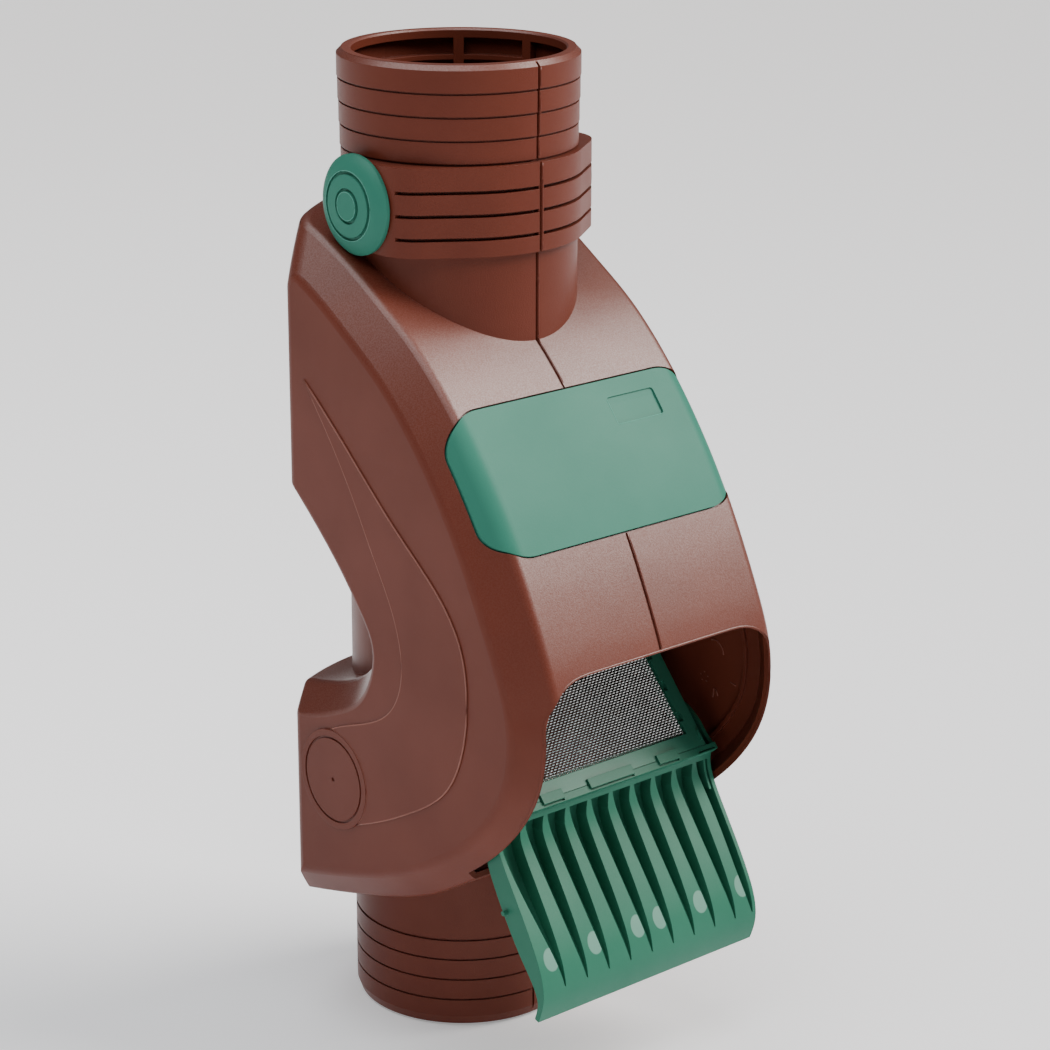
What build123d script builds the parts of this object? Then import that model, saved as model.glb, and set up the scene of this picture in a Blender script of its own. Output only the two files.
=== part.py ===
from build123d import *
import os
from math import cos, hypot, radians, sin

os.makedirs("parts", exist_ok=True)

# Origin at the centre of the lower pipe end, +Z up, leaf outlet towards -Y, millimetres

# Overall sizes of the moulded body
total_height = 475.5
wall = 2.6
half_width = 81.2
flat_half_width = 67.3
back_reach = 59.0
back_radius = 125.0
back_round = 7.0
shoulder_round = 12.0
side_round = 3.5
front_round = 5.0
cover_round = 12.0

# Pipe ends
spigot_radius = 54.1
spigot_tip_radius = 52.5
spigot_lead = 4.5
spigot_line_top = 59.0
spigot_top_line_height = 1.3
pipe_top = 300.0
sleeve_radius = 57.0
sleeve_step = 0.35
neck_radius = 55.6
neck_foot = 330.0
socket_length = 46.0
sleeve_chamfer = 2.5
socket_radius = 50.1
socket_lip = 4.4
socket_rib_width = 5.0
socket_rib_pitch = 40.0
inner_ring_height = 2.3
cut_line_start = 12.6
cut_line_pitch = 10.75
cut_line_height = 1.0
cut_line_depth = 0.8
cut_line_count = 4
seam_width = 1.3
seam_depth = 0.8
seam_sleeve_depth = 2.0
seam_land = 1.2

# Collar and the green caps on its sides
collar_top = total_height - socket_length
collar_bottom = collar_top - 41.5
collar_radius = 58.3
collar_half_width = 61.0
collar_front = 28.0
collar_back = 16.0
collar_corner = 22.0
collar_back_corner = 10.0
collar_line_height = 1.6
collar_line_depth = 2.6
collar_line_count = 3
cap_height = collar_top - 20.5
cap_radius = 23.5
cap_rim = 1.6
cap_dome = 6.9
cap_ring_radius = 15.3
cap_button_radius = 7.6
cap_groove = 1.5
cap_plug_radius = 9.0
cap_plug_length = 4.6
fit_gap = 0.2

# Side outline of the hood: y, z of the flat middle zone and how far the bevel drops at the sides
front_line = [
    (78.0, 412.5, 17.1), (54.0, 404.5, 17.1), (20.0, 392.0, 17.0), (1.0, 383.0, 16.9),
    (-24.0, 368.0, 17.4), (-44.0, 355.0, 17.9), (-57.0, 344.5, 18.0), (-75.0, 326.5, 18.1),
    (-97.5, 298.5, 18.5), (-117.4, 267.2, 18.9), (-134.7, 232.5, 18.6), (-142.5, 213.5, 18.3),
    (-147.0, 191.0, 18.0), (-143.7, 167.0, 16.5), (-136.0, 150.5, 15.0), (-122.0, 132.5, 13.5),
    (-103.5, 115.4, 13.0), (-78.0, 97.5, 13.5), (-50.0, 82.0, 15.0), (-13.4, 69.5, 15.0),
    (24.0, 59.5, 15.0), (78.0, 48.0, 15.0)]
waist_line = [
    (78.0, 163.0, 13.0), (54.0, 166.0, 13.0), (18.6, 172.1, 13.0), (-3.4, 180.6, 13.0),
    (-14.4, 189.6, 13.0), (-18.4, 199.6, 13.0), (-12.4, 213.1, 13.0), (9.1, 237.6, 13.0),
    (36.6, 262.6, 13.0), (78.0, 300.0, 13.0)]

# Leaf outlet in the front
outlet_half_width = 71.0
outlet_lip_height = 215.5
outlet_back = 88.0
outlet_corner = 21.0
outlet_bead_inset = 8.0
outlet_bead_width = 2.0
outlet_bead_height = 1.5

# Inspection cover
cover_y = -96.3
cover_z = 297.0
cover_tilt = 54.7
cover_half_width = 75.0
cover_height = 73.5
cover_corner = 20.0
cover_wall = 2.4
cover_gap = 0.8
cover_reach = 60.0
seat_width = 5.0
seat_wall = 2.0
cover_tab_width = 12.0
cover_tab_wall = 1.6
cover_tab_spacing = 70.0
label_width = 29.0
label_height = 13.6
label_x = 34.5
label_up = 20.2
label_depth = 0.9
label_corner = 1.5

# Raised crescent and boss on each flank
relief = 0.7
boss_y = -0.9
boss_z = 131.1
boss_radius = 25.0
boss_disc_radius = 20.6
boss_groove = 1.2
boss_dimple = 1.1
crescent_outer = [
    (16.6, 326.1), (-13.4, 301.1), (-49.4, 269.6), (-69.4, 254.1), (-85.4, 239.6), (-95.9, 223.1),
    (-99.9, 199.6), (-96.9, 174.6), (-85.4, 151.6), (-61.4, 133.6), (-35.4, 120.1), (-13.4, 111.1)]
crescent_inner = [
    (2.1, 155.6), (-15.4, 163.1), (-32.9, 170.1), (-44.4, 178.1), (-51.4, 189.1), (-53.9, 202.1),
    (-51.9, 216.1), (-44.9, 233.6), (-33.9, 252.1), (-19.4, 277.1), (-2.4, 302.1), (16.6, 326.1)]

# Sieve insert, in its own sloping plane from the chute bar upwards
sieve_slope = 49.0
bar_y = -107.0
bar_z = 142.5
frame_half_width = 63.0
frame_top = 1.2
frame_depth = 3.0
frame_bar = 8.0
frame_ledge = 2.0
ridge_wall = 1.0
frame_clearance = 0.5
frame_cross_bar = 4.0
frame_cross_count = 2
sieve_far = 260.0
notch_pitch = 17.0
notch_length = 5.0
notch_depth = 2.5
notch_count = 12
rail_wall = 2.2
rail_overlap = 5.0
rail_start = 60.0
guide_wall = 2.0
guide_height = 3.0
mesh_wall = 0.6
mesh_open_length = 198.0
mesh_columns = 9
mesh_rows = 8
mesh_hole_share = 0.62
wire_ridge = 0.5

# Leaf chute
chute_half_width = 69.0
chute_side_wall = 2.2
chute_floor_share = 0.22
land_count = 10
land_width = 4.8
groove_top = 134.0
groove_tip = 64.0
rib_tip_height = 7.0
rib_tip_left = 1.6
rib_tip_right = 0.8
hinge_bar = 3.7
tab_wall = 1.2
tab_reach = 2.5
tab_start = -2.3
slot_middle = -2.8
slot_width = 0.8
slot_depth = 2.0
clip_rib_x = 64.8
clip_rib_width = 1.2
clip_rib_height = 14.0
tab_places = [(-37.0, 13.0), (0.0, 28.0), (37.0, 13.0)]
end_slot_places = [(-62.0, 11.0), (62.0, 11.0)]
chute_outside = [
    (-107.3, 142.1), (-105.6, 131.0), (-112.0, 116.5), (-123.0, 99.0),
    (-132.5, 82.5), (-138.0, 68.5), (-138.6, 61.0), (-136.8, 53.0), (-135.0, 48.5)]
chute_inside = [
    (-99.0, 136.5), (-97.8, 122.0), (-104.0, 106.5), (-114.0, 89.5),
    (-124.5, 74.5), (-132.6, 63.5), (-134.6, 57.5), (-133.8, 53.0), (-132.6, 49.5)]
ear_line = [(-107.3, 142.1), (-100.7, 148.2), (-94.3, 154.1), (-85.4, 157.4), (-88.0, 147.0), (-97.5, 134.0)]
peg_y = -113.0
peg_z = 96.5
peg_radius = 1.2
peg_length = 2.5

def inset_points(line, inset_of):
    moved = []
    for i, (y, z, bevel) in enumerate(line):
        before = line[max(i - 1, 0)]
        after = line[min(i + 1, len(line) - 1)]
        dy, dz = after[0] - before[0], after[1] - before[1]
        d = inset_of(bevel) / hypot(dy, dz)
        moved.append((y - d * dz, z + d * dy))
    return moved


def chord_steps(line):
    steps = [0.0]
    for a, b in zip(line, line[1:]):
        steps.append(steps[-1] + hypot(b[0] - a[0], b[1] - a[1]))
    return [s / steps[-1] for s in steps]


def outline_wire(x, inset_of):
    edges = []
    for line in (front_line, waist_line):
        points = [(x, y, z) for y, z in inset_points(line, inset_of)]
        edges.append(Edge.make_spline(points, parameters=chord_steps(line)))
    edges.insert(1, Edge.make_line(edges[0] @ 1, edges[1] @ 0))
    edges.append(Edge.make_line(edges[2] @ 1, edges[0] @ 0))
    return Wire(edges)


def back_edges(solid):
    return solid.edges().filter_by(Axis.Z).filter_by(lambda edge: abs((edge @ 0).X) > flat_half_width)


def long_edges_at(solid, x):
    found = []
    for edge in solid.edges():
        box = edge.bounding_box()
        if abs(box.min.X - x) < 0.1 and abs(box.max.X - x) < 0.1 and edge.length > 30:
            found.append(edge)
    return found


def back_drum(inset):
    radius = back_radius - inset
    drum = Pos(0, back_reach - back_radius) * extrude(Circle(radius), total_height)
    front = Pos(0, -150, total_height / 2) * Box(300, 300, total_height)
    return drum + front


def shoulder_edges(solid):
    top = max(z for y, z, bevel in front_line)
    return [edge for edge in solid.edges() if (edge @ 0.5).Z > top - 3 * shoulder_round
            and flat_half_width < abs((edge @ 0.5).X) < half_width - 1 and (edge @ 0.5).Y > 20]


def flat_at(inset):
    return flat_half_width - 0.4 * inset


def sharp_hood(inset):
    side = half_width - inset
    wires = []
    for x, inset_of in (
            (-side, lambda bevel: bevel + 0.45 * inset), (-flat_at(inset), lambda bevel: inset),
            (flat_at(inset), lambda bevel: inset), (side, lambda bevel: bevel + 0.45 * inset)):
        wires.append(outline_wire(x, inset_of))
    return Solid.make_loft(wires, ruled=True) & back_drum(inset)


def round_crease(block, x, radius):
    return fillet(long_edges_at(block, x) + long_edges_at(block, -x), radius)


def hood(inset=0.0):
    block = sharp_hood(inset)
    if inset >= wall:
        return block
    block = fillet(shoulder_edges(block), shoulder_round - inset)
    block = fillet(back_edges(block), back_round - inset)
    block = round_crease(block, flat_at(inset), front_round - inset)
    return round_crease(block, half_width - inset, side_round - inset)


def cover_skin(inset=0.0):
    return round_crease(sharp_hood(inset), flat_at(inset), cover_round - inset)


def tube_body(radius, bottom, top):
    return Pos(0, 0, bottom) * extrude(Circle(radius), top - bottom)


def ring(outer, inner, bottom, top):
    return Pos(0, 0, bottom) * extrude(Circle(outer) - Circle(inner), top - bottom)


def outer_pipes():
    lead = Pos(0, 0, spigot_lead / 2) * Cone(spigot_tip_radius, spigot_radius, spigot_lead)
    spigot = lead + tube_body(spigot_radius, spigot_lead, pipe_top)
    sleeve = tube_body(sleeve_radius, collar_top, total_height)
    sleeve = chamfer(sleeve.edges().group_by(Axis.Z)[-1], sleeve_chamfer)
    return spigot + sleeve + tube_body(neck_radius, neck_foot, collar_top)


def inner_pipes(inset, sleeve_inset):
    spigot = tube_body(spigot_radius - inset, -1, pipe_top)
    neck = tube_body(neck_radius - inset, neck_foot, collar_top)
    return spigot + neck + tube_body(sleeve_radius - sleeve_inset, collar_top, total_height + 1)


def collar_plan(inset=0.0):
    length = collar_front + collar_back
    pads = Pos(0, collar_back - length / 2) * Rectangle(2 * collar_half_width, length)
    plan = make_hull(Circle(collar_radius).edges() + pads.edges())
    plan &= Pos(0, collar_back - collar_radius) * Rectangle(4 * collar_radius, 2 * collar_radius)
    corners = plan.vertices().filter_by(lambda v: abs(v.X) > collar_half_width - 0.1).sort_by(Axis.Y)
    plan = fillet(corners[:2], collar_corner)
    corners = plan.vertices().filter_by(lambda v: v.Y > collar_back - 0.1)
    plan = fillet(corners, collar_back_corner)
    return offset(plan, -inset) if inset else plan


def collar_slice(inset, bottom, top):
    return Pos(0, 0, bottom) * extrude(collar_plan(inset), top - bottom)


def cut_lines(top):
    return [top - cut_line_start - cut_line_pitch * i for i in range(cut_line_count)]


def sleeve_cuts():
    outer = sleeve_radius + wall
    cuts = []
    for i, z in enumerate(cut_lines(total_height)):
        band = sleeve_radius - sleeve_step * (i + 1)
        cuts.append(ring(outer, band, collar_top, z))
        cuts.append(ring(outer, band - cut_line_depth, z - cut_line_height, z))
    return cuts


def spigot_split():
    return cut_lines(spigot_line_top)[0] - spigot_top_line_height


def spigot_cuts():
    inner = spigot_radius - cut_line_depth
    cuts = [ring(spigot_radius + wall, inner, z - cut_line_height, z)
            for z in cut_lines(spigot_line_top)[1:]]
    cuts.append(ring(spigot_radius + wall, inner, spigot_split(), cut_lines(spigot_line_top)[0]))
    return cuts


def collar_cuts():
    cuts = []
    keep = Pos(0, collar_radius - cap_radius - 1.5) * Box(
        4 * collar_half_width, 2 * collar_radius, 4 * total_height)
    keep += Box(2 * seam_land, 4 * collar_half_width, 4 * total_height)
    for i in range(collar_line_count):
        top = collar_top - cut_line_pitch * (i + 1)
        bottom = top - collar_line_height
        groove = collar_slice(-1.0, bottom, top) - collar_slice(collar_line_depth, bottom, top)
        cuts.append(groove - keep)
    return cuts


def socket_ribs():
    outer = sleeve_radius - wall + 0.3
    lip = ring(outer, socket_radius, total_height - socket_lip, total_height)
    lip = chamfer(lip.edges().filter_by(GeomType.CIRCLE).group_by(Axis.Z)[-1].sort_by(SortBy.RADIUS)[0], 0.8)
    ribs = lip
    for z in cut_lines(total_height):
        ribs += ring(outer, socket_radius, max(z - inner_ring_height, collar_top), z)
    band = ring(outer, socket_radius, collar_top, total_height - 1)
    bar = Pos(outer / 2, 0, total_height / 2) * Box(outer, socket_rib_width, total_height)
    for i in range(1, round(360 / socket_rib_pitch)):
        ribs += band & (Rot(0, 0, 90 + socket_rib_pitch * i) * bar)
    return ribs


def outlet_cut():
    height = outlet_lip_height
    face = Plane.XZ * Pos(0, height / 2) * Rectangle(2 * outlet_half_width, height)
    block = Pos(0, -outlet_back) * extrude(face, 120)
    upright = block.edges().filter_by(Axis.Y).group_by(Axis.Z)[-1]
    return fillet(upright, outlet_corner)


def outlet_bead():
    inner_face = half_width - wall

    def side_face(inset):
        wire = outline_wire(inner_face - outlet_bead_height,
                            lambda bevel: bevel + 0.45 * wall + inset)
        return Face(wire)

    strip = side_face(outlet_bead_inset) - side_face(outlet_bead_inset + outlet_bead_width)
    bead = extrude(strip, outlet_bead_height + wall / 2, dir=(1, 0, 0))
    bead &= Pos(0, -outlet_back - 100, outlet_lip_height / 2 + 20) * Box(400, 200, outlet_lip_height)
    return bead + mirror(bead, Plane.YZ)


def flank_relief():
    crest = Edge.make_spline([(y, z) for y, z in crescent_outer])
    hollow = Edge.make_spline([(y, z) for y, z in crescent_inner])
    chord = Edge.make_line(crest @ 1, hollow @ 0)
    plane = Plane(origin=(half_width - wall / 2, 0, 0), x_dir=(0, 1, 0), z_dir=(1, 0, 0))
    height = wall / 2 + relief
    pad = extrude(plane * Face(Wire([crest, chord, hollow])), height)
    boss = Pos(boss_y, boss_z) * Circle(boss_radius)
    disc_gap = Circle(boss_disc_radius + boss_groove) - Circle(boss_disc_radius)
    pad += extrude(plane * boss, height + relief / 2)
    dent = plane.offset(height - relief / 2) * (Pos(boss_y, boss_z) * disc_gap)
    pad -= extrude(dent, 3)
    dimple = plane.offset(height - relief / 2) * (Pos(boss_y, boss_z) * Circle(boss_dimple))
    pad -= extrude(dimple, 3)
    return pad + mirror(pad, Plane.YZ)


def cap_pockets():
    pocket = Pos(collar_half_width, 0, cap_height) * Rot(0, -90, 0) * extrude(
        Circle(cap_plug_radius + fit_gap), cap_plug_length + fit_gap)
    return pocket + mirror(pocket, Plane.YZ)


def cover_plane():
    tilt = radians(cover_tilt)
    return Plane(origin=(0, cover_y, cover_z), x_dir=(1, 0, 0), z_dir=(0, -sin(tilt), cos(tilt)))


def cover_prism(grow):
    outline = RectangleRounded(2 * (cover_half_width + grow), cover_height + 2 * grow, cover_corner + grow)
    return extrude(cover_plane() * outline, cover_reach, both=True)


def inspection_cover(skin, under):
    cover = (cover_prism(-cover_gap) & skin) - under
    tab_y = cover_height / 2 - seat_width - cover_tab_wall / 2 - fit_gap
    bottom = cover_wall + seat_wall + 2 * fit_gap
    plane = cover_plane()
    for side in (-1, 1):
        for x in (-cover_tab_spacing / 2, 0, cover_tab_spacing / 2):
            stem = Pos(x, side * tab_y, -bottom) * Box(cover_tab_width, cover_tab_wall, 2 * bottom - 2)
            hook = Pos(x, side * (tab_y + cover_tab_wall / 2), -2 * bottom + 1) * Box(
                cover_tab_width, 2 * cover_tab_wall, cover_tab_wall)
            cover += plane * (stem + hook)
    label = Pos(label_x, label_up) * RectangleRounded(label_width, label_height, label_corner)
    recess = extrude(plane * label, cover_reach) - hood(label_depth)
    return cover - recess


def sieve_plane():
    slope = radians(sieve_slope)
    return Plane(origin=(0, bar_y, bar_z), x_dir=(1, 0, 0), z_dir=(0, -sin(slope), cos(slope)))


def sieve_box(half_x, start, end, low, high):
    block = Pos(0, (start + end) / 2, (low + high) / 2) * Box(2 * half_x, end - start, high - low)
    return sieve_plane() * block


def rails():
    ledge_inner = frame_half_width - rail_overlap
    low = -frame_depth - rail_wall
    ledge = sieve_box(half_width, rail_start, sieve_far, low, -frame_depth)
    ledge -= sieve_box(ledge_inner, 0, sieve_far + 1, low - 1, frame_top)
    outer = frame_half_width + frame_clearance + guide_wall
    guide = sieve_box(outer, rail_start, sieve_far, low, guide_height)
    guide -= sieve_box(outer - guide_wall, 0, sieve_far + 1, low - 1, guide_height + 1)
    return ledge + guide


def full_shell(skin, under_cover):
    collar_block = collar_slice(0, collar_bottom, collar_top)
    outer = skin + outer_pipes() + collar_block + flank_relief()
    outer -= sleeve_cuts() + spigot_cuts() + collar_cuts()
    inside = hood(wall)
    shell = outer - inside - inner_pipes(wall, wall)
    shell += socket_ribs()
    shell += rails() & hood(wall / 2)
    shell += outlet_bead() & hood(wall / 2)
    shell -= outlet_cut()
    seat = (cover_prism(seat_wall) - cover_prism(-seat_width)) & under_cover
    seat -= hood(cover_wall + seat_wall)
    shell -= cover_prism(0) - under_cover
    shell += seat
    shell -= cover_prism(-seat_width)
    return shell - cap_pockets()


def half_shell(shell, side):
    keep = Pos(side * total_height / 2, 0, total_height / 2) * Box(
        total_height, total_height, total_height + 2)
    return shell & keep


def end_spaces():
    reach = 4 * sleeve_radius
    socket = Pos(0, 0, collar_top + reach / 2) * Box(reach, reach, reach)
    return tube_body(spigot_radius + fit_gap, -1, spigot_split()), socket


def seam_rebate():
    slab = Pos(-seam_width / 2, 0, total_height / 2) * Box(seam_width, total_height, total_height + 2)
    core = hood(seam_depth) + inner_pipes(seam_depth, seam_sleeve_depth)
    core += collar_slice(seam_depth, collar_bottom, collar_top)
    return slab - core


def side_cap():
    outer_edge = cap_ring_radius + cap_groove / 2
    inner_edge = cap_ring_radius - cap_groove / 2
    floor = cap_dome - 2.1
    button_edge = cap_button_radius - cap_groove / 2
    dome = ThreePointArc((cap_radius, cap_rim), (cap_radius - 3.0, cap_dome - 2.7),
                         (outer_edge, cap_dome - 1.1))
    rings = Polyline(dome @ 1, (outer_edge, floor), (inner_edge, floor), (inner_edge, cap_dome - 0.8),
                     (cap_button_radius + cap_groove / 2, cap_dome - 0.4),
                     (cap_button_radius + cap_groove / 2, floor + 0.6), (button_edge, floor + 0.6),
                     (button_edge, cap_dome), (0, cap_dome), (0, -cap_plug_length),
                     (cap_plug_radius, -cap_plug_length), (cap_plug_radius, 0), (cap_radius, 0), dome @ 0)
    turned = revolve(make_face(dome + rings), Axis.Y)
    return Pos(collar_half_width, 0, cap_height) * Rot(0, 0, -90) * turned


def drum_end(inset):
    radius = back_radius - wall - inset
    return Pos(0, back_reach - back_radius) * extrude(Circle(radius), total_height)


def sieve_frame():
    low = -frame_depth
    outline = sieve_box(frame_half_width, 0, sieve_far, low, frame_top)
    body = outline & drum_end(frame_clearance)
    opening_half = frame_half_width - frame_bar - frame_ledge
    opening = sieve_box(opening_half, frame_bar + frame_ledge, sieve_far, low - 1, frame_top + 1)
    body -= opening & drum_end(frame_clearance + frame_bar + frame_ledge)
    rebate = sieve_box(frame_half_width - frame_bar, frame_bar, sieve_far, 0, frame_top + 1)
    body -= rebate & drum_end(frame_clearance + frame_bar)
    for i in range(frame_cross_count):
        middle = sieve_far * (i + 1) / (frame_cross_count + 1)
        body += sieve_box(frame_half_width - 1, middle - frame_cross_bar / 2,
                          middle + frame_cross_bar / 2, low, -frame_depth / 2)
    notch_inner = frame_half_width - frame_bar - 0.5
    for i in range(notch_count):
        middle = notch_pitch * (i + 1)
        notch = sieve_box(notch_inner + notch_depth, middle - notch_length / 2,
                          middle + notch_length / 2, 0, frame_top + 1)
        body -= notch
    ridge_length = frame_bar - tab_reach - fit_gap
    for side in (-1, 1):
        ridge = Pos(side * (frame_half_width - 1.5), frame_bar - ridge_length / 2, frame_top) * Box(
            ridge_wall, ridge_length, 2 * ridge_wall)
        body += sieve_plane() * ridge
    return body


def sieve_mesh():
    edge = frame_bar + fit_gap
    half_x = frame_half_width - edge
    sheet = sieve_box(half_x, edge, sieve_far, 0, mesh_wall) & drum_end(frame_clearance + edge)
    column = 2 * (half_x - frame_ledge) / mesh_columns
    row = mesh_open_length / mesh_rows
    hole = Box(column * mesh_hole_share, row * mesh_hole_share, 4)
    plane = sieve_plane()
    for j in range(mesh_rows):
        up = edge + frame_ledge + row * (j + 0.5)
        holes = [plane * Pos(column * (i - (mesh_columns - 1) / 2), up) * hole for i in range(mesh_columns)]
        sheet -= holes
        ridge_middle = up + row / 2
        sheet += sieve_box(half_x - frame_ledge - fit_gap, ridge_middle - wire_ridge,
                           ridge_middle + wire_ridge, 0, mesh_wall + wire_ridge)
    return sheet


def side_spline(points):
    return Edge.make_spline([(0, y, z) for y, z in points])


def chute_floor():
    tip = len(chute_outside) - 3
    points = []
    for i, (near, far) in enumerate(zip(chute_outside, chute_inside)):
        share = min(1.0, chute_floor_share + (1 - chute_floor_share) * (i / tip) ** 2)
        points.append((far[0] + (near[0] - far[0]) * share, far[1] + (near[1] - far[1]) * share))
    return points


def side_profile(outer, inner):
    near = side_spline(outer)
    far = side_spline(list(reversed(inner)))
    return Face(Wire([near, Edge.make_line(near @ 1, far @ 0), far, Edge.make_line(far @ 1, near @ 0)]))


def across(face, half_x):
    return extrude(face, half_x, dir=(1, 0, 0), both=True)


def groove_cutters():
    pitch = 2 * chute_half_width / land_count
    floor = side_spline(chute_floor())
    reach = -2 * peg_length + min(y for y, z in chute_outside)
    start, end = floor @ 0, floor @ 1
    corner_a = (0, reach, start.Z)
    corner_b = (0, reach, end.Z)
    air = Face(Wire([floor, Edge.make_line(end, corner_b), Edge.make_line(corner_b, corner_a),
                     Edge.make_line(corner_a, start)]))
    space = across(air, chute_half_width)
    cutters = []
    for i in range(land_count):
        left = -chute_half_width + pitch * i
        right = left + pitch - (chute_side_wall if i == land_count - 1 else 0)
        start_x = left + (chute_side_wall if i == 0 else land_width)
        height = groove_top - groove_tip
        flare = Spline((start_x, groove_top - rib_tip_height),
                       (start_x + pitch * 0.14, groove_tip + height * 0.6),
                       (right - pitch * 0.3, groove_tip + height * 0.22), (right - 0.6, groove_tip))
        lead_in = 0 if i == land_count - 1 else rib_tip_left
        lead_out = 0 if i == 0 else rib_tip_right
        rest = Polyline(flare @ 1, (right, groove_tip), (right, groove_top - rib_tip_height),
                        (right + lead_in, groove_top), (start_x - lead_out, groove_top), flare @ 0)
        plan = Plane.XZ * make_face(flare + rest)
        cutters.append(extrude(plan, total_height, both=True) & space)
    return cutters


def leaf_chute():
    plate = across(side_profile(chute_outside, chute_inside), chute_half_width)
    clip_rib = plate & (Pos(clip_rib_x, 0, groove_top - clip_rib_height / 2) * Box(
        clip_rib_width, total_height, clip_rib_height))
    body = plate - groove_cutters() + clip_rib
    body += sieve_box(chute_half_width, -hinge_bar, -fit_gap, -frame_depth, frame_top)
    ear = Wire([side_spline(ear_line), Edge.make_line((0, *ear_line[-1]), (0, *ear_line[0]))])
    fin = across(Face(ear), chute_half_width) - across(Face(ear), chute_half_width - chute_side_wall)
    body += fin
    for x, width in tab_places + end_slot_places:
        slot = Pos(x, slot_middle, frame_top) * Box(width, slot_width, slot_depth)
        body -= sieve_plane() * slot
    for x, width in tab_places:
        tab = Pos(x, (tab_start + tab_reach) / 2, frame_top + tab_wall / 2) * Box(
            width, tab_reach - tab_start, tab_wall)
        body += sieve_plane() * tab
    peg = Pos(0, peg_y, peg_z) * Rot(0, 90, 0) * Cylinder(peg_radius, 2 * (chute_half_width + peg_length))
    body += peg - Box(2 * chute_half_width - chute_side_wall, 400, 400)
    return body


def write(node, shape):
    export_step(shape, f"parts/{node}.step")


skin = hood()
under_cover = cover_skin(cover_wall)
shell = full_shell(skin, under_cover)
halves = {"left": half_shell(shell, -1) - seam_rebate(), "right": half_shell(shell, 1)}
spigot_space, socket_space = end_spaces()
for side, half in halves.items():
    write(f"{side}_spigot", half & spigot_space)
    write(f"{side}_socket", half & socket_space)
    write(f"{side}_shell", half - spigot_space - socket_space)
cap = side_cap()
write("right_side_cap", cap)
write("left_side_cap", mirror(cap, Plane.YZ))
write("inspection_cover", inspection_cover(cover_skin(), under_cover))
write("sieve_frame", sieve_frame())
write("sieve_mesh", sieve_mesh())
write("leaf_chute", leaf_chute())
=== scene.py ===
# %% [markdown]
# This lesson dresses a rainwater leaf filter that sits in a downpipe. The rigid solids come from a CAD
# program and stay as they are. Blender adds what CAD leaves plain: the grain and the gloss of moulded
# plastic, the pale marks that a mould leaves, painted highlights along thin rims and edges, the woven wire
# of the sieve, and a soft studio around it all.
# Everything is in metres. The origin is the centre of the lower pipe end, +Z goes up along the pipe, and
# -Y points to the leaf outlet.

# %% Load the frame
from math import cos, pi, radians, sin

import bmesh
import bpy
from mathutils import Matrix, Vector
from mathutils.bvhtree import BVHTree


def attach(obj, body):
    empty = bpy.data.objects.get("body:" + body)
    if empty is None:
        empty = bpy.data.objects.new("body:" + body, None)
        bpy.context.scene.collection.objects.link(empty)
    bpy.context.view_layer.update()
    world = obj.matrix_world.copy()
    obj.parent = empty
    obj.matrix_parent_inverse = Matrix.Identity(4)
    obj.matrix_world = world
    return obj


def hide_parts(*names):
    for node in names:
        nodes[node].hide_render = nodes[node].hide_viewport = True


MM = 0.001

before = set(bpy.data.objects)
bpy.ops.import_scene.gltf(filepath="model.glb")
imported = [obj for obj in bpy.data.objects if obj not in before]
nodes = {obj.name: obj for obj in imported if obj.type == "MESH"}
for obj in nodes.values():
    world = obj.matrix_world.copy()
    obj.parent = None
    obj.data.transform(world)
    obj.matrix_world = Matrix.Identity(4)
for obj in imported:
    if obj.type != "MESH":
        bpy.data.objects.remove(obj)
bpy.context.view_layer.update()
print("nodes:", sorted(nodes))

# %% [markdown]
# The camera comes first, because every choice after it is judged through it. The photograph was taken
# from the front left, a little above the part, with a long lens. A camera could be aimed at a point, but
# three directions say more: where its right, its up and its back point. They are the columns of a rotation.

# %% Camera
PHOTO_SIDE = 1050
FOCAL_PX = 3107.0
SENSOR = 36.0
CAMERA_REACH = 50.0
CAMERA_PLACE = (-0.9256, -1.1007, 0.7075)
azimuth, elevation, roll = radians(-41.293), radians(17.944), radians(0.055)

right = Vector((cos(azimuth), sin(azimuth), 0.0))
back = Vector((sin(azimuth) * cos(elevation), -cos(azimuth) * cos(elevation), sin(elevation)))
up = back.cross(right)
rolled_right = right * cos(roll) + up * sin(roll)
rolled_up = up * cos(roll) - right * sin(roll)

camera_data = bpy.data.cameras.new("photo_camera")
camera_data.sensor_width = SENSOR
camera_data.lens = FOCAL_PX / PHOTO_SIDE * SENSOR
camera_data.clip_end = CAMERA_REACH
camera = bpy.data.objects.new("photo_camera", camera_data)
camera_turn = Matrix((rolled_right, rolled_up, back)).transposed()
camera.matrix_world = Matrix.Translation(CAMERA_PLACE) @ camera_turn.to_4x4()
bpy.context.scene.collection.objects.link(camera)
bpy.context.scene.camera = camera
print("lens:", round(camera_data.lens, 1), "mm")

# %% [markdown]
# A catalogue picture stands on a pale sweep. The sweep could be a sheet that curves up behind the part, but
# the camera looks down and sees only its flat part, so one flat floor will do. It glows a little by itself,
# which keeps the part's shadow on it soft and pale.

# %% Floor
FLOOR_HALF = 6.0
FLOOR_DROP = 1.5 * MM
FLOOR_COLOUR = (0.86, 0.88, 0.92, 1.0)
FLOOR_ROUGHNESS = 0.8
FLOOR_GLOW = 0.3
WHITE = (1.0, 1.0, 1.0, 1.0)


def build_floor():
    bm = bmesh.new()
    bmesh.ops.create_grid(bm, x_segments=1, y_segments=1, size=FLOOR_HALF)
    bmesh.ops.translate(bm, verts=bm.verts, vec=(0, 0, -FLOOR_DROP))
    mesh = bpy.data.meshes.new("studio_floor")
    bm.to_mesh(mesh)
    bm.free()
    floor = bpy.data.objects.new("studio_floor", mesh)
    bpy.context.scene.collection.objects.link(floor)
    return floor


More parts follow.
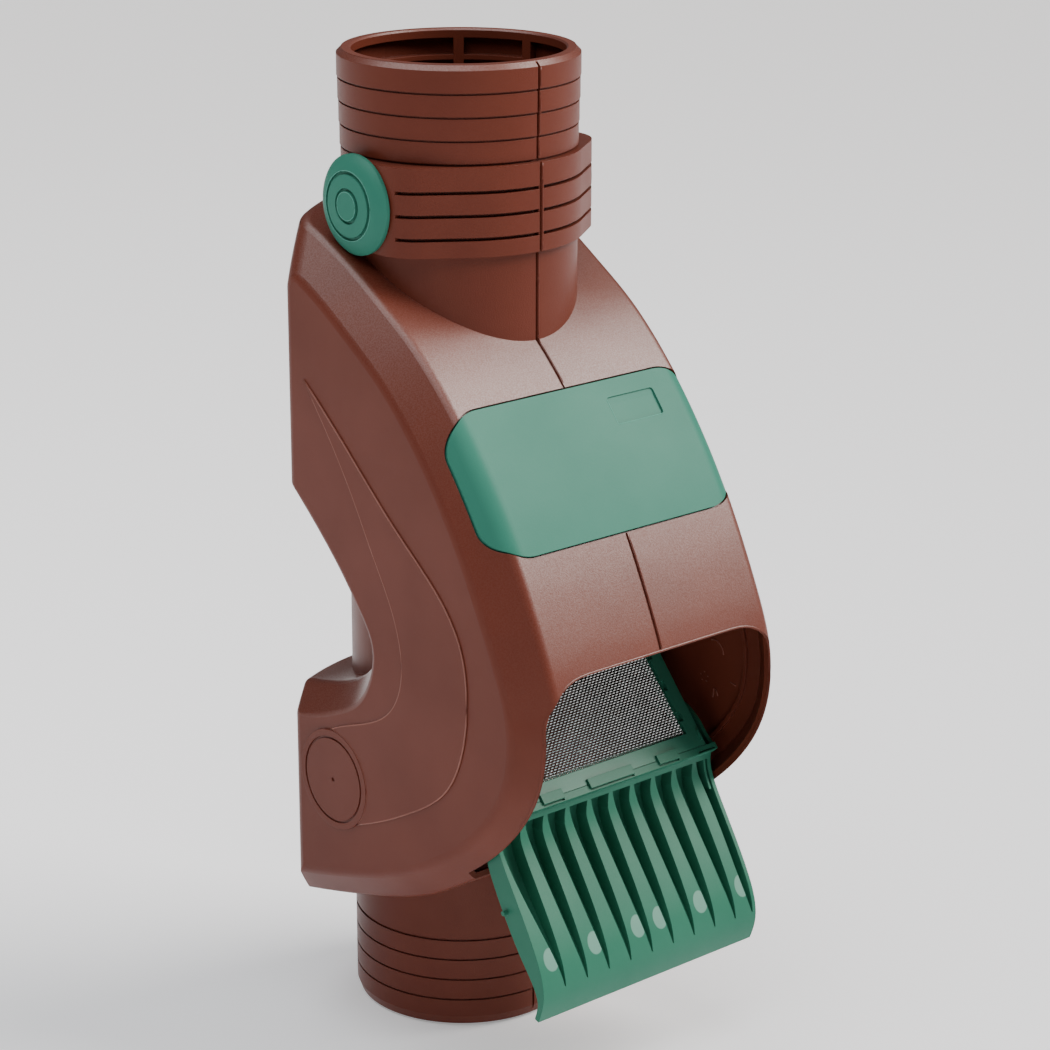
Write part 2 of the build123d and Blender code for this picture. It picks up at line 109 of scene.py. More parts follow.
floor_paint = bpy.data.materials.new("floor_paint")
floor_paint.use_nodes = True
floor_shader = floor_paint.node_tree.nodes["Principled BSDF"]
floor_shader.inputs["Base Color"].default_value = FLOOR_COLOUR
floor_shader.inputs["Roughness"].default_value = FLOOR_ROUGHNESS
floor_shader.inputs["Emission Color"].default_value = WHITE
floor_shader.inputs["Emission Strength"].default_value = FLOOR_GLOW
build_floor().data.materials.append(floor_paint)
print("floor:", 2 * FLOOR_HALF, "m wide")

# %% [markdown]
# Two lamps light the part. The first stands for a very broad sheet, high at the front right. It is a sun
# lamp with a wide angle, because a sun lights the whole floor evenly: surfaces that lean back catch a long
# soft sheen from it, and the upright flank on the left stays dark. The second is a large sheet over the
# left side that lights the bevel and draws the rounded edges. A faint white world fills the shadows.

# %% Lamps
SUN_TOWARD = (0.61, -0.48, 0.66)
SUN_STRENGTH = 4.8
SUN_SPREAD = radians(40)
SUN_TINT = (1.0, 0.945, 0.89)
SHEET_PLACE = (-0.55, 0.05, 1.9)
SHEET_SIZE = (2.2, 1.7)
SHEET_ENERGY = 36.0
WORLD_STRENGTH = 0.08
part_middle = Vector((0.0, -0.045, 0.24))


def add_lamp(data, place, away):
    """A lamp shines along its own -Z, so its +Z is turned to point away from the part."""
    lamp = bpy.data.objects.new(data.name, data)
    lamp.location = place
    lamp.rotation_euler = away.to_track_quat("Z", "Y").to_euler()
    bpy.context.scene.collection.objects.link(lamp)


sun_data = bpy.data.lights.new("front_right_sheet", "SUN")
sun_data.energy = SUN_STRENGTH
sun_data.color = SUN_TINT
sun_data.angle = SUN_SPREAD
add_lamp(sun_data, SUN_TOWARD, Vector(SUN_TOWARD))

sheet_data = bpy.data.lights.new("left_top_sheet", "AREA")
sheet_data.shape = "RECTANGLE"
sheet_data.size, sheet_data.size_y = SHEET_SIZE
sheet_data.energy = SHEET_ENERGY
add_lamp(sheet_data, SHEET_PLACE, Vector(SHEET_PLACE) - part_middle)

world = bpy.data.worlds.new("white_room")
world.use_nodes = True
world.node_tree.nodes["Background"].inputs["Color"].default_value = WHITE
world.node_tree.nodes["Background"].inputs["Strength"].default_value = WORLD_STRENGTH
bpy.context.scene.world = world

# %% [markdown]
# A material is a tree of nodes, and short helpers keep the trees below readable. The first feeds a socket.
# The five after it each add one node, feed it and hand back the socket that the next node reads.

# %% Node helpers


def feed(tree, socket, value):
    """Link what another node puts out, or set a plain number or colour."""
    if isinstance(value, bpy.types.NodeSocket):
        tree.links.new(value, socket)
    else:
        socket.default_value = value


def math_node(tree, operation, *values):
    node = tree.nodes.new("ShaderNodeMath")
    node.operation = operation
    for socket, value in zip(node.inputs, values):
        feed(tree, socket, value)
    return node.outputs[0]


def vector_node(tree, operation, first, second=None):
    node = tree.nodes.new("ShaderNodeVectorMath")
    node.operation = operation
    feed(tree, node.inputs[0], first)
    if second is not None:
        feed(tree, node.inputs[1], second)
    return node.outputs["Value" if operation == "LENGTH" else "Vector"]


def noise_node(tree, vector, scale, detail, roughness):
    node = tree.nodes.new("ShaderNodeTexNoise")
    feed(tree, node.inputs["Vector"], vector)
    feed(tree, node.inputs["Scale"], scale)
    node.inputs["Detail"].default_value = detail
    node.inputs["Roughness"].default_value = roughness
    return node.outputs["Fac"]


def map_range(tree, value, low, high, to_low=0.0, to_high=1.0):
    node = tree.nodes.new("ShaderNodeMapRange")
    feed(tree, node.inputs["Value"], value)
    for label, number in (("From Min", low), ("From Max", high), ("To Min", to_low), ("To Max", to_high)):
        node.inputs[label].default_value = number
    return node.outputs["Result"]


def mix_colour(tree, factor, first, second):
    node = tree.nodes.new("ShaderNodeMix")
    node.data_type = "RGBA"
    feed(tree, node.inputs["Factor"], factor)
    feed(tree, node.inputs["A"], first)
    feed(tree, node.inputs["B"], second)
    return node.outputs["Result"]


# %% [markdown]
# Every plastic here comes out of a steel mould, and the steel leaves a fine grain in it. Painting it by hand
# would need a picture for each piece, so noise makes it. One node group serves all the plastics, and each
# uses it with its own numbers. It gives out three values: the height of the grain, which is weaker on the
# flanks, a slow mottle for colour and gloss, and a mask for the coating, which is the sheen that surfaces
# facing up get, broken up by the same grain.

# %% Grain group
FLOAT = "NodeSocketFloat"
FINE_DETAIL, FINE_ROUGHNESS = 2.0, 0.6
MOTTLE_SCALE, MOTTLE_DETAIL, MOTTLE_ROUGHNESS = 22.0, 4.0, 0.55
FLANK_SHARPNESS = 3.0
UPWARD_LOW, UPWARD_HIGH = 0.1, 0.5
SPARKLE_LOW, SPARKLE_HIGH, SPARKLE_LEAST = 0.38, 0.62, 0.55


def build_grain_group():
    group = bpy.data.node_groups.new("moulded_grain", "ShaderNodeTree")
    for label in ("Grain Scale", "Flank Share"):
        group.interface.new_socket(label, in_out="INPUT", socket_type=FLOAT)
    for label in ("Height", "Mottle", "Coating"):
        group.interface.new_socket(label, in_out="OUTPUT", socket_type=FLOAT)
    enter = group.nodes.new("NodeGroupInput")
    leave = group.nodes.new("NodeGroupOutput")
    place = group.nodes.new("ShaderNodeTexCoord")
    fine = noise_node(group, place.outputs["Object"], enter.outputs["Grain Scale"],
                      FINE_DETAIL, FINE_ROUGHNESS)
    slow = noise_node(group, place.outputs["Object"], MOTTLE_SCALE, MOTTLE_DETAIL, MOTTLE_ROUGHNESS)

    facing = group.nodes.new("ShaderNodeSeparateXYZ")
    group.links.new(place.outputs["Normal"], facing.inputs[0])
    sideways = math_node(group, "ABSOLUTE", facing.outputs["X"])
    front = math_node(group, "SUBTRACT", 1.0, math_node(group, "POWER", sideways, FLANK_SHARPNESS))
    flank = enter.outputs["Flank Share"]
    rest = math_node(group, "MULTIPLY", front, math_node(group, "SUBTRACT", 1.0, flank))
    share = math_node(group, "ADD", flank, rest)

    upward = map_range(group, facing.outputs["Z"], UPWARD_LOW, UPWARD_HIGH)
    sparkle = map_range(group, fine, SPARKLE_LOW, SPARKLE_HIGH, SPARKLE_LEAST)
    group.links.new(math_node(group, "MULTIPLY", fine, share), leave.inputs["Height"])
    group.links.new(slow, leave.inputs["Mottle"])
    group.links.new(math_node(group, "MULTIPLY", upward, sparkle), leave.inputs["Coating"])
    return group


grain_group = build_grain_group()
print("group:", grain_group.name, "with", len(grain_group.nodes), "nodes")

# %% [markdown]
# A moulded plastic is one Principled shader. Its colour drifts between two close tones with the mottle, and
# it is a little smoother where it is paler. The grain feeds a Bump node, whose distance is the depth of the
# grain: a tenth of a millimetre on the coarse brown body and less on the smoother green pieces. A Bevel node
# in front of it rounds every sharp edge by 0.4 mm for the light alone, which catches the thin highlights
# that moulded edges have and leaves the solids as they are.

# %% Plastic helper
EDGE_RADIUS = 0.4 * MM
COAT_IOR = 1.6
NOISE_LOW, NOISE_HIGH = 0.3, 0.7


def plastic(name, dark, light, smooth, rough, grain_scale, grain_depth, flank_share,
            gloss=0.12, upper_coat=0.0):
    material = bpy.data.materials.new(name)
    material.use_nodes = True
    tree = material.node_tree
    shader = tree.nodes["Principled BSDF"]
    grain = tree.nodes.new("ShaderNodeGroup")
    grain.node_tree = grain_group
    grain.inputs["Grain Scale"].default_value = grain_scale
    grain.inputs["Flank Share"].default_value = flank_share
    mottle = map_range(tree, grain.outputs["Mottle"], NOISE_LOW, NOISE_HIGH)
    tree.links.new(mix_colour(tree, mottle, (*dark, 1.0), (*light, 1.0)), shader.inputs["Base Color"])
    tree.links.new(map_range(tree, grain.outputs["Mottle"], NOISE_LOW, NOISE_HIGH, rough, smooth),
                   shader.inputs["Roughness"])
    tree.links.new(math_node(tree, "MULTIPLY", grain.outputs["Coating"], upper_coat),
                   shader.inputs["Coat Weight"])
    shader.inputs["Specular IOR Level"].default_value = gloss
    shader.inputs["Coat Roughness"].default_value = (smooth + rough) / 2
    shader.inputs["Coat IOR"].default_value = COAT_IOR

    edge = tree.nodes.new("ShaderNodeBevel")
    edge.inputs["Radius"].default_value = EDGE_RADIUS
    bump = tree.nodes.new("ShaderNodeBump")
    bump.inputs["Strength"].default_value = 1.0
    bump.inputs["Distance"].default_value = grain_depth
    tree.links.new(edge.outputs["Normal"], bump.inputs["Normal"])
    tree.links.new(grain.outputs["Height"], bump.inputs["Height"])
    tree.links.new(bump.outputs["Normal"], shader.inputs["Normal"])
    return material


def dress(names, material):
    for name in names:
        nodes[name].data.materials.clear()
        nodes[name].data.materials.append(material)
    print(material.name, "on", ", ".join(names))


# %% Brown body plastic
brown = plastic("brown_body", dark=(0.114, 0.025, 0.014), light=(0.132, 0.030, 0.017),
                smooth=0.34, rough=0.42, grain_scale=1500.0, grain_depth=0.12 * MM,
                flank_share=0.3, gloss=0.15, upper_coat=1.0)
# A paler brown: a painted highlight for the thin raised rims and marks below.
highlight_brown = plastic("brown_painted_highlight", dark=(0.22, 0.085, 0.064), light=(0.26, 0.105, 0.080),
                     smooth=0.34, rough=0.42, grain_scale=1100.0, grain_depth=0.02 * MM,
                     flank_share=0.3)
dress([f"{side}_{part}" for side in ("left", "right") for part in ("spigot", "shell", "socket")], brown)

# %% Green cover and caps
green = plastic("green_cover", dark=(0.030, 0.168, 0.118), light=(0.035, 0.184, 0.130),
                smooth=0.42, rough=0.48, grain_scale=1500.0, grain_depth=0.02 * MM,
                flank_share=0.8, gloss=0.1, upper_coat=0.12)
# A paler green: a painted highlight for thin lit edges on the cover and the caps.
highlight_green = plastic("highlight_green", dark=(0.085, 0.30, 0.23), light=(0.10, 0.33, 0.25),
                     smooth=0.36, rough=0.42, grain_scale=1500.0, grain_depth=0.02 * MM,
                     flank_share=0.8)
dress(["inspection_cover", "left_side_cap", "right_side_cap"], green)

# %% Green sieve frame and chute
frame_green = plastic("green_frame", dark=(0.025, 0.152, 0.097), light=(0.030, 0.168, 0.108),
                      smooth=0.36, rough=0.44, grain_scale=1500.0, grain_depth=0.02 * MM,
                      flank_share=0.8, gloss=0.2, upper_coat=0.2)
chute_green = plastic("green_chute", dark=(0.021, 0.136, 0.084), light=(0.026, 0.150, 0.094),
                      smooth=0.40, rough=0.48, grain_scale=1500.0, grain_depth=0.02 * MM,
                      flank_share=0.8, gloss=0.15, upper_coat=0.15)
dress(["sieve_frame"], frame_green)
dress(["leaf_chute"], chute_green)

# %% [markdown]
# Six pins push the chute out of its mould, and each leaves a pale oval near the end of a land. They lie in
# the surface, so they are colour and no shape. Each is the distance from a point, squashed to an oval and
# cut off at the pin's radius. The largest of the six masks paints them all.

# %% Ejector marks on the chute
PIN_X = (-61.0, -33.7, -6.3, 7.9, 34.6, 62.4)
PIN_Y, PIN_Z = -134.8, 77.8
PIN_RADIUS = 4.4 * MM
PIN_SOFT_FROM = 0.9
PIN_SQUASH = (1.0, 0.6, 0.8)
PIN_STRENGTH = 0.55
PIN_COLOUR = (0.22, 0.42, 0.34, 1.0)


def pin_mark(tree, place, x):
    """A mask that is one inside the oval of the pin at x millimetres, and zero outside it."""
    offset = vector_node(tree, "SUBTRACT", place, (x * MM, PIN_Y * MM, PIN_Z * MM))
    distance = vector_node(tree, "LENGTH", vector_node(tree, "MULTIPLY", offset, PIN_SQUASH))
    return map_range(tree, distance, PIN_RADIUS * PIN_SOFT_FROM, PIN_RADIUS, 1.0, 0.0)


def add_pin_marks(material):
    tree = material.node_tree
    shader = tree.nodes["Principled BSDF"]
    place = tree.nodes.new("ShaderNodeTexCoord").outputs["Object"]
    mask = pin_mark(tree, place, PIN_X[0])
    for x in PIN_X[1:]:
        mask = math_node(tree, "MAXIMUM", mask, pin_mark(tree, place, x))
    base = shader.inputs["Base Color"].links[0].from_socket
    factor = math_node(tree, "MULTIPLY", mask, PIN_STRENGTH)
    tree.links.new(mix_colour(tree, factor, base, PIN_COLOUR), shader.inputs["Base Color"])


add_pin_marks(chute_green)
print("pin marks:", len(PIN_X))

# %% [markdown]
# The sieve is woven steel wire. A picture of a weave would look flat here, because the camera is close
# enough to see each wire go over and under. So the wires are real. One wire is a small square that is
# extruded step by step, up over one crossing and down under the next, and every second wire is the same
# shape turned over. The cloth is made flat, with its wires along Y, and then laid on the sloping frame. At
# its upper end it is cut to the curve of the body's back, a little inside the frame's rim.

# %% Sieve plane
SLOPE = radians(49.0)
across = Vector((1.0, 0.0, 0.0))
along = Vector((0.0, cos(SLOPE), sin(SLOPE)))
normal = Vector((0.0, -sin(SLOPE), cos(SLOPE)))
plane_origin = Vector((0.0, -107.0, 142.5)) * MM
sieve_turn = Matrix((across, along, normal)).transposed().to_4x4()
sieve_matrix = Matrix.Translation(plane_origin) @ sieve_turn

# The body's back is part of a drum. Its sizes and the frame's are in millimetres, as in the solids.
BACK_RADIUS, BACK_REACH = 125.0, 59.0
WALL, FRAME_GAP, FRAME_RIM = 2.6, 0.5, 8.3

PITCH = 1.2 * MM
WIRE = 0.46 * MM
WIRE_SIDES = 4
CLOTH_HALF = 54.6 * MM
CLOTH_START = FRAME_RIM * MM
CLOTH_END = 218.0 * MM
CLOTH_HEIGHT = 0.55 * MM
warp_count = int(2 * CLOTH_HALF / PITCH)
weft_count = int((CLOTH_END - CLOTH_START) / PITCH)
drum_middle = (BACK_REACH - BACK_RADIUS) * MM
drum_radius = (BACK_RADIUS - WALL - FRAME_GAP - FRAME_RIM) * MM
print("wires:", warp_count, "up the slope and", weft_count, "across it")

# %% One wire


def draw_out(bm, end):
    """Extrude the end face. The old one goes, and the new one is handed back with its corners."""
    made = bmesh.ops.extrude_face_region(bm, geom=end)["geom"]
    bmesh.ops.delete(bm, geom=end, context="FACES_ONLY")
    face = [g for g in made if isinstance(g, bmesh.types.BMFace)]
    corners = [g for g in made if isinstance(g, bmesh.types.BMVert)]
    return face, corners


def add_wire(bm, steps, sign, lead):
    """One wavy wire along +Y, drawn out from crossing to crossing."""
    start = bmesh.ops.create_circle(bm, cap_ends=True, segments=WIRE_SIDES, radius=WIRE / 2)["verts"]
    bmesh.ops.rotate(bm, verts=start, cent=(0, 0, 0), matrix=Matrix.Rotation(radians(90), 3, "X"))
    bmesh.ops.translate(bm, verts=start, vec=(0, lead, sign * WIRE / 2))
    end = list(bm.faces)
    for i in range(1, steps):
        end, corners = draw_out(bm, end)
        sign = -sign
        bmesh.ops.translate(bm, verts=corners, vec=(0, PITCH, sign * WIRE))


# %% The cloth


def beyond_drum(point):
    spot = sieve_matrix @ point
    return spot.x ** 2 + (spot.y - drum_middle) ** 2 > drum_radius ** 2


def close_ends(bm, sides):
    bmesh.ops.holes_fill(bm, edges=[e for e in bm.edges if e.is_boundary], sides=sides)
    bmesh.ops.recalc_face_normals(bm, faces=bm.faces)


def build_wires(name, count, steps, lead, first, quarter_turn):
    bm = bmesh.new()
    for k in range(count):
        row = bmesh.new()
        add_wire(row, steps, 1 if k % 2 else -1, lead)
        bmesh.ops.translate(row, verts=row.verts, vec=(first + k * PITCH, 0, 0))
        mesh = bpy.data.meshes.new("row")
        row.to_mesh(mesh)
        row.free()
        bm.from_mesh(mesh)
        bpy.data.meshes.remove(mesh)
    if quarter_turn:
        bmesh.ops.rotate(bm, verts=bm.verts, cent=(0, 0, 0), matrix=Matrix.Rotation(radians(-90), 3, "Z"))
        bmesh.ops.rotate(bm, verts=bm.verts, cent=(0, 0, 0), matrix=Matrix.Rotation(radians(180), 3, "X"))
    bmesh.ops.translate(bm, verts=bm.verts, vec=(0, 0, CLOTH_HEIGHT))
    bmesh.ops.delete(bm, geom=[v for v in bm.verts if beyond_drum(v.co)], context="VERTS")
    bmesh.ops.transform(bm, matrix=sieve_matrix, verts=bm.verts)
    close_ends(bm, WIRE_SIDES)
    mesh = bpy.data.meshes.new(name)
    bm.to_mesh(mesh)
    bm.free()
    piece = bpy.data.objects.new(name, mesh)
    bpy.context.scene.collection.objects.link(piece)
    print(name, len(mesh.polygons), "faces")
    return piece


# %% Warp and weft
warp = build_wires("sieve_warp", warp_count, weft_count, CLOTH_START, -CLOTH_HALF, False)
weft = build_wires("sieve_weft", weft_count, warp_count, -CLOTH_HALF, CLOTH_START, True)

# %% [markdown]
# Drawn wire is bare metal with a dull, uneven shine. One noise sets both the grey and the roughness, so that
# neighbouring wires don't glint alike.

# %% Steel wire
STEEL_SCALE, STEEL_DETAIL, STEEL_ROUGHNESS = 160.0, 3.0, 0.6
STEEL_DARK, STEEL_LIGHT = (0.50, 0.51, 0.50, 1.0), (0.68, 0.69, 0.68, 1.0)
STEEL_SMOOTH, STEEL_ROUGH = 0.16, 0.28

steel = bpy.data.materials.new("steel_wire")
steel.use_nodes = True
steel_tree = steel.node_tree
steel_shader = steel_tree.nodes["Principled BSDF"]
steel_shader.inputs["Metallic"].default_value = 1.0
steel_place = steel_tree.nodes.new("ShaderNodeTexCoord")
steel_noise = noise_node(steel_tree, steel_place.outputs["Object"],
                         STEEL_SCALE, STEEL_DETAIL, STEEL_ROUGHNESS)
steel_tone = map_range(steel_tree, steel_noise, NOISE_LOW, NOISE_HIGH)
steel_tree.links.new(mix_colour(steel_tree, steel_tone, STEEL_DARK, STEEL_LIGHT),
                     steel_shader.inputs["Base Color"])
steel_tree.links.new(map_range(steel_tree, steel_noise, NOISE_LOW, NOISE_HIGH, STEEL_ROUGH, STEEL_SMOOTH),
                     steel_shader.inputs["Roughness"])

for piece in (warp, weft):
    piece.data.materials.append(steel)
    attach(piece, "root")
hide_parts("sieve_mesh")
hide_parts("sieve_mesh")
print("steel on", warp.name, "and", weft.name)

# %% [markdown]
# The two halves of the body are welded, and the weld leaves a thin round bead beside the seam. A curve with
# a round section would do, but a ring that is extruded from point to point gives a plain closed mesh at
# once, and the same helper serves every thin line in this scene. The path isn't written down point by
# point. A ray is sent at the finished solids from the front, once for each height, and the bead goes where
# the rays land.

# %% Tube helper
FINE_TUBE_SIDES = 6


def ring_frame(points, i):
    """A place and a turn whose +Z looks from the point before to the point after."""
    ahead = points[min(i + 1, len(points) - 1)] - points[max(i - 1, 0)]
    return Matrix.Translation(points[i]) @ ahead.to_track_quat("Z", "X").to_matrix().to_4x4()


def add_tube(name, points, radii, sides, material):
    bm = bmesh.new()
    at = ring_frame(points, 0)
    quarter_back = Matrix.Rotation(radians(-90), 4, "Z")
    bmesh.ops.create_circle(bm, cap_ends=True, segments=sides, radius=radii[0], matrix=at @ quarter_back)
    end = list(bm.faces)
    for i in range(1, len(points)):
        end, ring = draw_out(bm, end)
        following = ring_frame(points, i)
        growth = Matrix.Scale(radii[i] / radii[i - 1], 4)
        bmesh.ops.transform(bm, matrix=following @ growth @ at.inverted(), verts=ring)
        at = following
    close_ends(bm, sides)
    for face in bm.faces:
        face.smooth = True
    mesh = bpy.data.meshes.new(name)
    bm.to_mesh(mesh)
    bm.free()
    piece = bpy.data.objects.new(name, mesh)
    bpy.context.scene.collection.objects.link(piece)
    piece.data.materials.append(material)
    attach(piece, "root")


def fine_tube(name, points, radius, material):
    add_tube(name, points, [radius] * len(points), FINE_TUBE_SIDES, material)


# %% Ray helper
FAR_FRONT = -0.3
BACKWARDS = Vector((0, 1, 0))
ray_trees = {}
for name in ("left_shell", "right_shell", "left_socket", "right_socket", "inspection_cover",
             "left_side_cap", "right_side_cap"):
    solid = bmesh.new()
    solid.from_mesh(nodes[name].data)
    solid.transform(nodes[name].matrix_world)
    ray_trees[name] = BVHTree.FromBMesh(solid)
    solid.free()


def land(start, direction, names):
    """The nearest point where a ray lands on the named solids."""
    start = Vector(start)
    hits = [ray_trees[name].ray_cast(start, direction)[0] for name in names]
    return min((hit for hit in hits if hit is not None), key=lambda hit: (hit - start).length)


print("solids that a ray can land on:", len(ray_trees))

# %% Seam bead
BEAD_X = 0.55 * MM
BEAD_RADIUS = 0.45 * MM
BEAD_SINK = 0.15 * MM
BEAD_STEP = 2.0
BEAD_SIDES = 8
# Where each stretch starts and ends, in millimetres above the lower pipe end.
bead_heights = {"bead_sleeve": (472.5, 430.5), "bead_collar": (429.0, 388.5),
                "bead_neck": (387.5, 328.5), "bead_front": (265.5, 217.0)}


def seam_bead(name, top, bottom):
    count = round((top - bottom) / BEAD_STEP)
    points = []
    for i in range(count + 1):
        z = (top + (bottom - top) * i / count) * MM
        hit = land((BEAD_X, FAR_FRONT, z), BACKWARDS, ("right_shell", "right_socket"))
        points.append(hit + BACKWARDS * BEAD_SINK)
    radii = [BEAD_RADIUS / 2] + [BEAD_RADIUS] * (count - 1) + [BEAD_RADIUS / 2]
    add_tube(name, points, radii, BEAD_SIDES, brown)
    print(name, "of", len(points), "points")


for name, (top, bottom) in bead_heights.items():
    seam_bead(name, top, bottom)

# %% [markdown]
# The outlet is an arch cut straight through the hood, and the real one has a rounded edge where the skin
# turns in. The solid's edge is sharp there. A bevel would change the solid, so a tube is laid along the edge
# instead. The arch is drawn flat, as a straight side, a quarter circle and a straight top, and rays carry it
# on to the curved skin.

# %% Outline of the outlet
LIP_HALF = 71.0 * MM
LIP_TOP = 215.5 * MM
LIP_CORNER = 21.0 * MM
LIP_FOOT = 140.0 * MM
CORNER_STEPS = 8
SIDE_STEPS = 12
TOP_STEPS = 10


def lip_outline():
    centre_x, centre_z = LIP_HALF - LIP_CORNER, LIP_TOP - LIP_CORNER
    right_side = []
    for i in range(CORNER_STEPS + 1):
        angle = radians(90 - 90 / CORNER_STEPS * i)
        right_side.append((centre_x + LIP_CORNER * cos(angle), centre_z + LIP_CORNER * sin(angle)))
    right_side += [(LIP_HALF, centre_z + (LIP_FOOT - centre_z) * i / SIDE_STEPS)
                   for i in range(1, SIDE_STEPS + 1)]
    middle = [(centre_x * i / TOP_STEPS, LIP_TOP) for i in range(1 - TOP_STEPS, TOP_STEPS)]
    left_side = [(-x, z) for x, z in reversed(right_side)]
    return left_side + middle + right_side


# %% Rounded edge of the outlet
LIP_RADIUS = 0.7 * MM
LIP_END_RADIUS = 0.2 * MM
LIP_SHIFT = 0.5 * MM
LIP_SINK = 0.35 * MM
LIP_SIDES = 8
SMOOTHINGS = 3


def smoothed(points):
    inner = [before / 4 + middle / 2 + after / 4
             for before, middle, after in zip(points, points[1:], points[2:])]
    return [points[0]] + inner + [points[-1]]


def outlet_lip():
    points = []
    for x, z in lip_outline():
        outward = LIP_SHIFT * (x / LIP_HALF)
        lift = LIP_SHIFT if z > LIP_TOP - LIP_CORNER else 0.0
        hit = land((x + outward, FAR_FRONT, z + lift), BACKWARDS, ("left_shell", "right_shell"))
        points.append(hit + BACKWARDS * LIP_SINK)
    for i in range(SMOOTHINGS):
        points = smoothed(points)
    radii = [LIP_END_RADIUS] + [LIP_RADIUS] * (len(points) - 2) + [LIP_END_RADIUS]
    add_tube("outlet_lip", points, radii, LIP_SIDES, brown)
    print("outlet lip of", len(points), "points")


outlet_lip()

# %% [markdown]
# The crescent on each flank is a low raised field with a fine rounded rim. The rim tube is painted a paler
# brown, a painted highlight along the raised edge. The rim is found in the solid itself: the field is the
# flat face that stands out farthest, and the rim runs where that face ends. Its corners are collected as
# neighbours of each other, and then walked from one to the next.

# %% Finding the rim
FIELD_X = 81.9 * MM
FIELD_TOLERANCE = 0.02 * MM


def on_field(face):
    return all(abs(abs(v.co.x) - FIELD_X) < FIELD_TOLERANCE for v in face.verts)


def field_rim(solid):
    neighbours = {}
    for edge in solid.edges:
        if len(edge.link_faces) == 2 and on_field(edge.link_faces[0]) != on_field(edge.link_faces[1]):
            first, second = edge.verts
            neighbours.setdefault(first, []).append(second)
            neighbours.setdefault(second, []).append(first)
    return neighbours


def walk(neighbours):
    run = [next(iter(neighbours))]
    while True:
        ahead = [v for v in neighbours[run[-1]] if v not in run]
        if not ahead:
            return run
        run.append(ahead[0])


# %% Crescent rims
MERGE_DISTANCE = 0.001 * MM
RIM_RADIUS = 0.42 * MM
RIM_SINK = 0.32 * MM
FEWEST_CORNERS = 8


def crescent_rim(name, side):
    solid = bmesh.new()
    solid.from_mesh(nodes[name].data)
    bmesh.ops.remove_doubles(solid, verts=solid.verts, dist=MERGE_DISTANCE)
    neighbours = field_rim(solid)
    count = 0
    while neighbours:
        run = walk(neighbours)
        for v in run:
            neighbours.pop(v)
        neighbours = {v: [w for w in near if w in neighbours] for v, near in neighbours.items()}
        if len(run) < FEWEST_CORNERS:
            continue
        inward = Vector((-side * RIM_SINK, 0, 0))
        points = [v.co + inward for v in run + run[:1]]
        count += 1
        # The rim tube is painted paler brown, a painted highlight along the raised edge.
        fine_tube(f"{name}_rim_{count}", points, RIM_RADIUS, highlight_brown)
        print(name, "rim", count, "points", len(points))
    solid.free()


crescent_rim("left_shell", -1)
crescent_rim("right_shell", 1)

# %% [markdown]
# The same tube, thinner and in a paler green, is a painted highlight on edges that catch the light: the
# left and lower edges of the plain recess on the cover, and the two rings on each side cap. Rays find the
# surface again, this time along the cover's own tilt and from the sides.

# %% Recess edge
COVER_TILT = radians(54.7)
cover_origin = Vector((0.0, -96.3, 297.0)) * MM
cover_up = Vector((0.0, cos(COVER_TILT), sin(COVER_TILT)))
cover_out = Vector((0.0, -sin(COVER_TILT), cos(COVER_TILT)))
RECESS_LEFT, RECESS_RIGHT = 19.8 * MM, 47.5 * MM
RECESS_LOW, RECESS_HIGH = 13.2 * MM, 25.8 * MM
RECESS_STEPS = 12
RECESS_LINE = 0.22 * MM
EDGE_SINK = 0.1 * MM
RAY_LIFT = 0.1


def recess_edge():
    shares = [i / RECESS_STEPS for i in range(RECESS_STEPS)]
    path = [(RECESS_LEFT, RECESS_HIGH + (RECESS_LOW - RECESS_HIGH) * share) for share in shares]
    path += [(RECESS_LEFT + (RECESS_RIGHT - RECESS_LEFT) * share, RECESS_LOW) for share in shares + [1.0]]
    points = []
    for x, rise in path:
        start = cover_origin + cover_up * rise + cover_out * RAY_LIFT + Vector((x, 0, 0))
        points.append(land(start, -cover_out, ["inspection_cover"]) - cover_out * EDGE_SINK)
    # Paler green line: a painted highlight on the lit left and lower edges of the recess.
    fine_tube("recess_edge", points, RECESS_LINE, highlight_green)
    print("recess edge of", len(points), "points")


recess_edge()

# %% Cap rings
CAP_HEIGHT = 409.0 * MM
CAP_RINGS = (6.6 * MM, 16.3 * MM)
CAP_LINE = 0.24 * MM
CAP_STEPS = 48
FAR_SIDE = 0.2


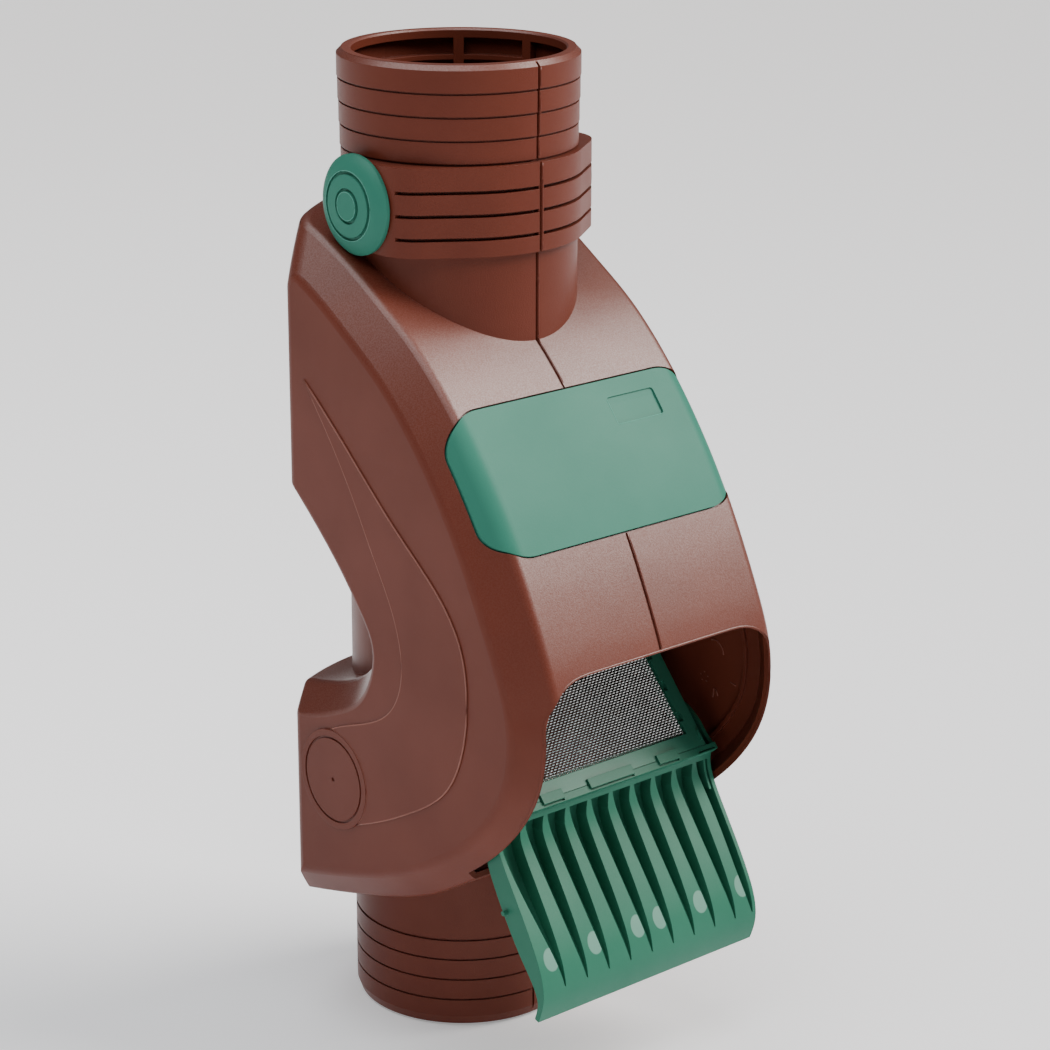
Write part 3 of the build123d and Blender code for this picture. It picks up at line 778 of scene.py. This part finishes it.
def cap_ring(name, side, radius):
    inward = Vector((-side, 0, 0))
    points = []
    for k in range(CAP_STEPS + 1):
        angle = 2 * pi * k / CAP_STEPS
        start = (side * FAR_SIDE, radius * cos(angle), CAP_HEIGHT + radius * sin(angle))
        points.append(land(start, inward, [name]) + inward * EDGE_SINK)
    # Paler green ring: a painted highlight on the cap's raised ring.
    fine_tube(f"{name}_ring_{radius / MM:.0f}", points, CAP_LINE, highlight_green)


for radius in CAP_RINGS:
    cap_ring("left_side_cap", -1, radius)
    cap_ring("right_side_cap", 1, radius)
print("rings on each cap:", len(CAP_RINGS))

# %% [markdown]
# Inside the outlet the right cheek keeps a few small raised marks from its mould: an arc, a ring of five
# dots and three short strokes. They are tubes too, half sunk into the flat wall, so their places are drawn
# on it as plain y and z in millimetres. Their paler brown is a painted highlight on the raised marks. The
# left cheek has the same marks.

# %% Mould marks
CHEEK_X = 78.6 * MM
MARK_RADIUS = 0.3 * MM
ARC_CENTRE, ARC_RADIUS = (-96.8, 183.7), 6.5
ARC_START, ARC_STEP, ARC_POINTS = 71, 15, 8
DOT_CENTRE, DOT_RING = (-90.8, 169.4), 2.4
DOT_LENGTH, DOT_COUNT = 0.8, 5
stroke_marks = [[(-108.0, 171.5), (-112.1, 170.6)], [(-97.1, 165.3), (-96.6, 160.4)],
                [(-98.5, 165.1), (-100.0, 161.9)]]


def on_circle(centre, radius, degrees):
    return centre[0] + radius * cos(radians(degrees)), centre[1] + radius * sin(radians(degrees))


arc_mark = [on_circle(ARC_CENTRE, ARC_RADIUS, ARC_START + ARC_STEP * i) for i in range(ARC_POINTS)]
dots = [on_circle(DOT_CENTRE, DOT_RING, 90 + 360 / DOT_COUNT * i) for i in range(DOT_COUNT)]
marks = [arc_mark] + stroke_marks + [[(y, z), (y + DOT_LENGTH, z)] for y, z in dots]
for side, word in ((-1, "left"), (1, "right")):
    for number, mark in enumerate(marks):
        line = [Vector((side * CHEEK_X, y * MM, z * MM)) for y, z in mark]
        # Each mark is painted paler brown, a painted highlight on the raised mark.
        fine_tube(f"cheek_mark_{word}_{number}", line, MARK_RADIUS, highlight_brown)
print("cheek marks on each side:", len(marks))
